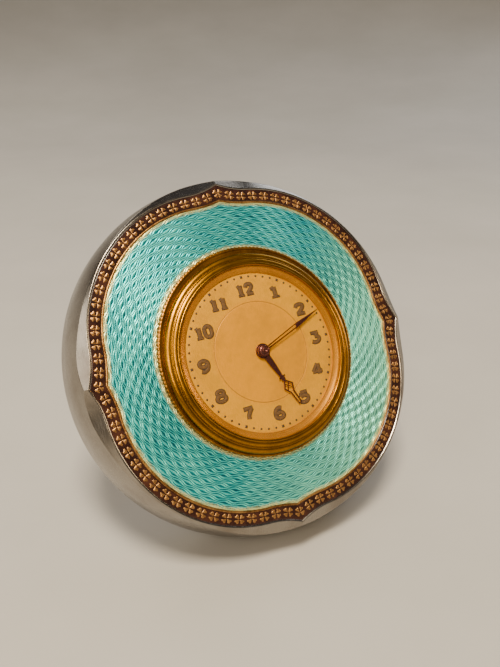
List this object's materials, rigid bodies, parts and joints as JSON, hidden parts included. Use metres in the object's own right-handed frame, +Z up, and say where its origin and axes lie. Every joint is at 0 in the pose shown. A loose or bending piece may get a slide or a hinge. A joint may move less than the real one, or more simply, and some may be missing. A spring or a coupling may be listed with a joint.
{
  "type": "strut clock",
  "caption": "Round-lobed silver desk clock with a turquoise enamel face, dark floral border, gilt bezel and dial, standing on a folding rear strut",
  "frame": {"origin": "Middle of the bounding box in X and Y, on the standing plane in Z", "axes": "The clock faces -Y and leans back 31.5 degrees, +Z is up, +X is to the right of a viewer who faces the dial"},
  "size_m": [0.1018, 0.0832, 0.0941],
  "materials": {
    "silver": "polished silver",
    "border_enamel": "black-brown enamel with copper-gold flowers",
    "turquoise_enamel": "translucent turquoise enamel over engine turning",
    "gold": "polished gold",
    "gilt_bezel": "polished gilt",
    "gilt_dial": "satin gilt",
    "blued_steel": "purple-brown tempered steel",
    "glass": "clear crystal",
    "steel": "polished steel",
    "movement_brass": "brushed brass"
  },
  "bodies": {
    "case": {"case_body": "silver", "face_plate": "silver", "border_enamel": "border_enamel", "gold_fillet": "gold", "enamel_panel": "turquoise_enamel", "case_back": "silver", "back_screw_1": "silver", "back_screw_2": "silver", "back_screw_3": "silver", "back_screw_4": "silver", "hinge_bracket": "silver", "hinge_pin": "steel", "movement_case": "gilt_bezel", "retaining_ring": "gilt_bezel", "coin_ring": "gilt_bezel", "bezel": "gilt_bezel", "reflector_ring": "gilt_bezel", "crystal": "glass", "dial": "gilt_dial", "front_plate": "movement_brass", "rear_plate": "movement_brass", "pillar_1": "movement_brass", "pillar_2": "movement_brass", "pillar_3": "movement_brass", "pillar_4": "movement_brass", "plate_screw_1": "steel", "plate_screw_2": "steel", "plate_screw_3": "steel", "plate_screw_4": "steel", "balance_cock": "movement_brass", "click_spring": "steel"},
    "strut": {"strut_leg": "silver"},
    "minute_work": {"cannon_pinion": "steel", "minute_hand": "blued_steel", "hand_cap": "blued_steel"},
    "hour_work": {"hour_wheel": "movement_brass", "hour_hand": "blued_steel"},
    "minute_wheel_body": {"minute_wheel": "movement_brass"},
    "setting_work": {"setting_arbor": "steel", "setting_knob": "gilt_bezel"},
    "winding_work": {"winding_arbor": "steel", "ratchet_wheel": "steel", "key_hub": "gilt_bezel"},
    "key_bow_body": {"key_bow": "gilt_bezel"},
    "barrel_work": {"barrel": "movement_brass", "barrel_cover": "movement_brass", "mainspring": "steel"},
    "centre_body": {"centre_wheel": "movement_brass"},
    "third_body": {"third_wheel": "movement_brass"},
    "fourth_body": {"fourth_wheel": "movement_brass"},
    "escape_body": {"escape_wheel": "steel"},
    "pallet_body": {"pallet_fork": "steel"},
    "balance_body": {"balance_wheel": "movement_brass", "hairspring": "steel"},
    "regulator_body": {"regulator_lever": "steel"},
    "click_body": {"click": "steel"}
  },
  "joints": [
    {"name": "strut_fold", "type": "hinge", "parent": "case", "child": "strut", "pos_m": [0, 0.02554, 0.06412], "axis": [1, 0, 0], "range_deg": [-45, 0]},
    {"name": "minute_turn", "type": "hinge", "parent": "case", "child": "minute_work", "pos_m": [0, -0.01651, 0.05176], "axis": [0, 0.8526, -0.5225], "continuous": true},
    {"name": "hour_turn", "type": "hinge", "parent": "case", "child": "hour_work", "pos_m": [0, -0.01651, 0.05176], "axis": [0, 0.8526, -0.5225], "continuous": true},
    {"name": "minute_wheel_turn", "type": "hinge", "parent": "case", "child": "minute_wheel_body", "pos_m": [0.00709, -0.01717, 0.0507], "axis": [0, 0.8526, -0.5225], "continuous": true},
    {"name": "setting_turn", "type": "hinge", "parent": "case", "child": "setting_work", "pos_m": [0.01418, -0.01782, 0.04963], "axis": [0, 0.8526, -0.5225], "continuous": true},
    {"name": "fourth_turn", "type": "hinge", "parent": "case", "child": "fourth_body", "pos_m": [0.00493, -0.01013, 0.06218], "axis": [0, 0.8526, -0.5225], "continuous": true},
    {"name": "escape_turn", "type": "hinge", "parent": "case", "child": "escape_body", "pos_m": [-0.00115, -0.00991, 0.06255], "axis": [0, 0.8526, -0.5225], "continuous": true},
    {"name": "third_turn", "type": "hinge", "parent": "case", "child": "third_body", "pos_m": [0.00747, -0.01378, 0.05622], "axis": [0, 0.8526, -0.5225], "continuous": true},
    {"name": "centre_turn", "type": "hinge", "parent": "case", "child": "centre_body", "pos_m": [0, -0.01651, 0.05176], "axis": [0, 0.8526, -0.5225], "continuous": true},
    {"name": "barrel_turn", "type": "hinge", "parent": "case", "child": "barrel_work", "pos_m": [-0.01232, -0.01824, 0.04895], "axis": [0, 0.8526, -0.5225], "continuous": true},
    {"name": "winding_turn", "type": "hinge", "parent": "case", "child": "winding_work", "pos_m": [-0.01232, -0.01824, 0.04895], "axis": [0, 0.8526, -0.5225], "continuous": true},
    {"name": "key_bow_fold", "type": "hinge", "parent": "winding_work", "child": "key_bow_body", "pos_m": [-0.01232, 0.00623, 0.03395], "axis": [0, -0.5225, -0.8526], "range_deg": [0, 180]},
    {"name": "pallet_rock", "type": "hinge", "parent": "case", "child": "pallet_body", "pos_m": [-0.0051, -0.00916, 0.06377], "axis": [0, 0.8526, -0.5225], "range_deg": [-5, 5]},
    {"name": "balance_swing", "type": "hinge", "parent": "case", "child": "balance_body", "pos_m": [-0.00908, -0.00831, 0.06514], "axis": [0, 0.8526, -0.5225], "range_deg": [-135, 135], "stiffness_Nm_per_rad": 0.0000019},
    {"name": "regulator_shift", "type": "hinge", "parent": "case", "child": "regulator_body", "pos_m": [-0.00908, -0.00831, 0.06514], "axis": [0, 0.8526, -0.5225], "range_deg": [-15, 15]},
    {"name": "click_lift", "type": "hinge", "parent": "case", "child": "click_body", "pos_m": [-0.01479, -0.02177, 0.04318], "axis": [0, 0.8526, -0.5225], "range_deg": [0, 6]}
  ],
  "couplings": [
    {"joint": "hour_turn", "follows": "minute_turn", "ratio": 0.083333},
    {"joint": "minute_wheel_turn", "follows": "minute_turn", "ratio": -0.33333},
    {"joint": "setting_turn", "follows": "minute_turn", "ratio": 1},
    {"joint": "escape_turn", "follows": "fourth_turn", "ratio": -6},
    {"joint": "third_turn", "follows": "fourth_turn", "ratio": -0.2},
    {"joint": "centre_turn", "follows": "fourth_turn", "ratio": 0.04},
    {"joint": "barrel_turn", "follows": "fourth_turn", "ratio": -0.0083333}
  ]
}
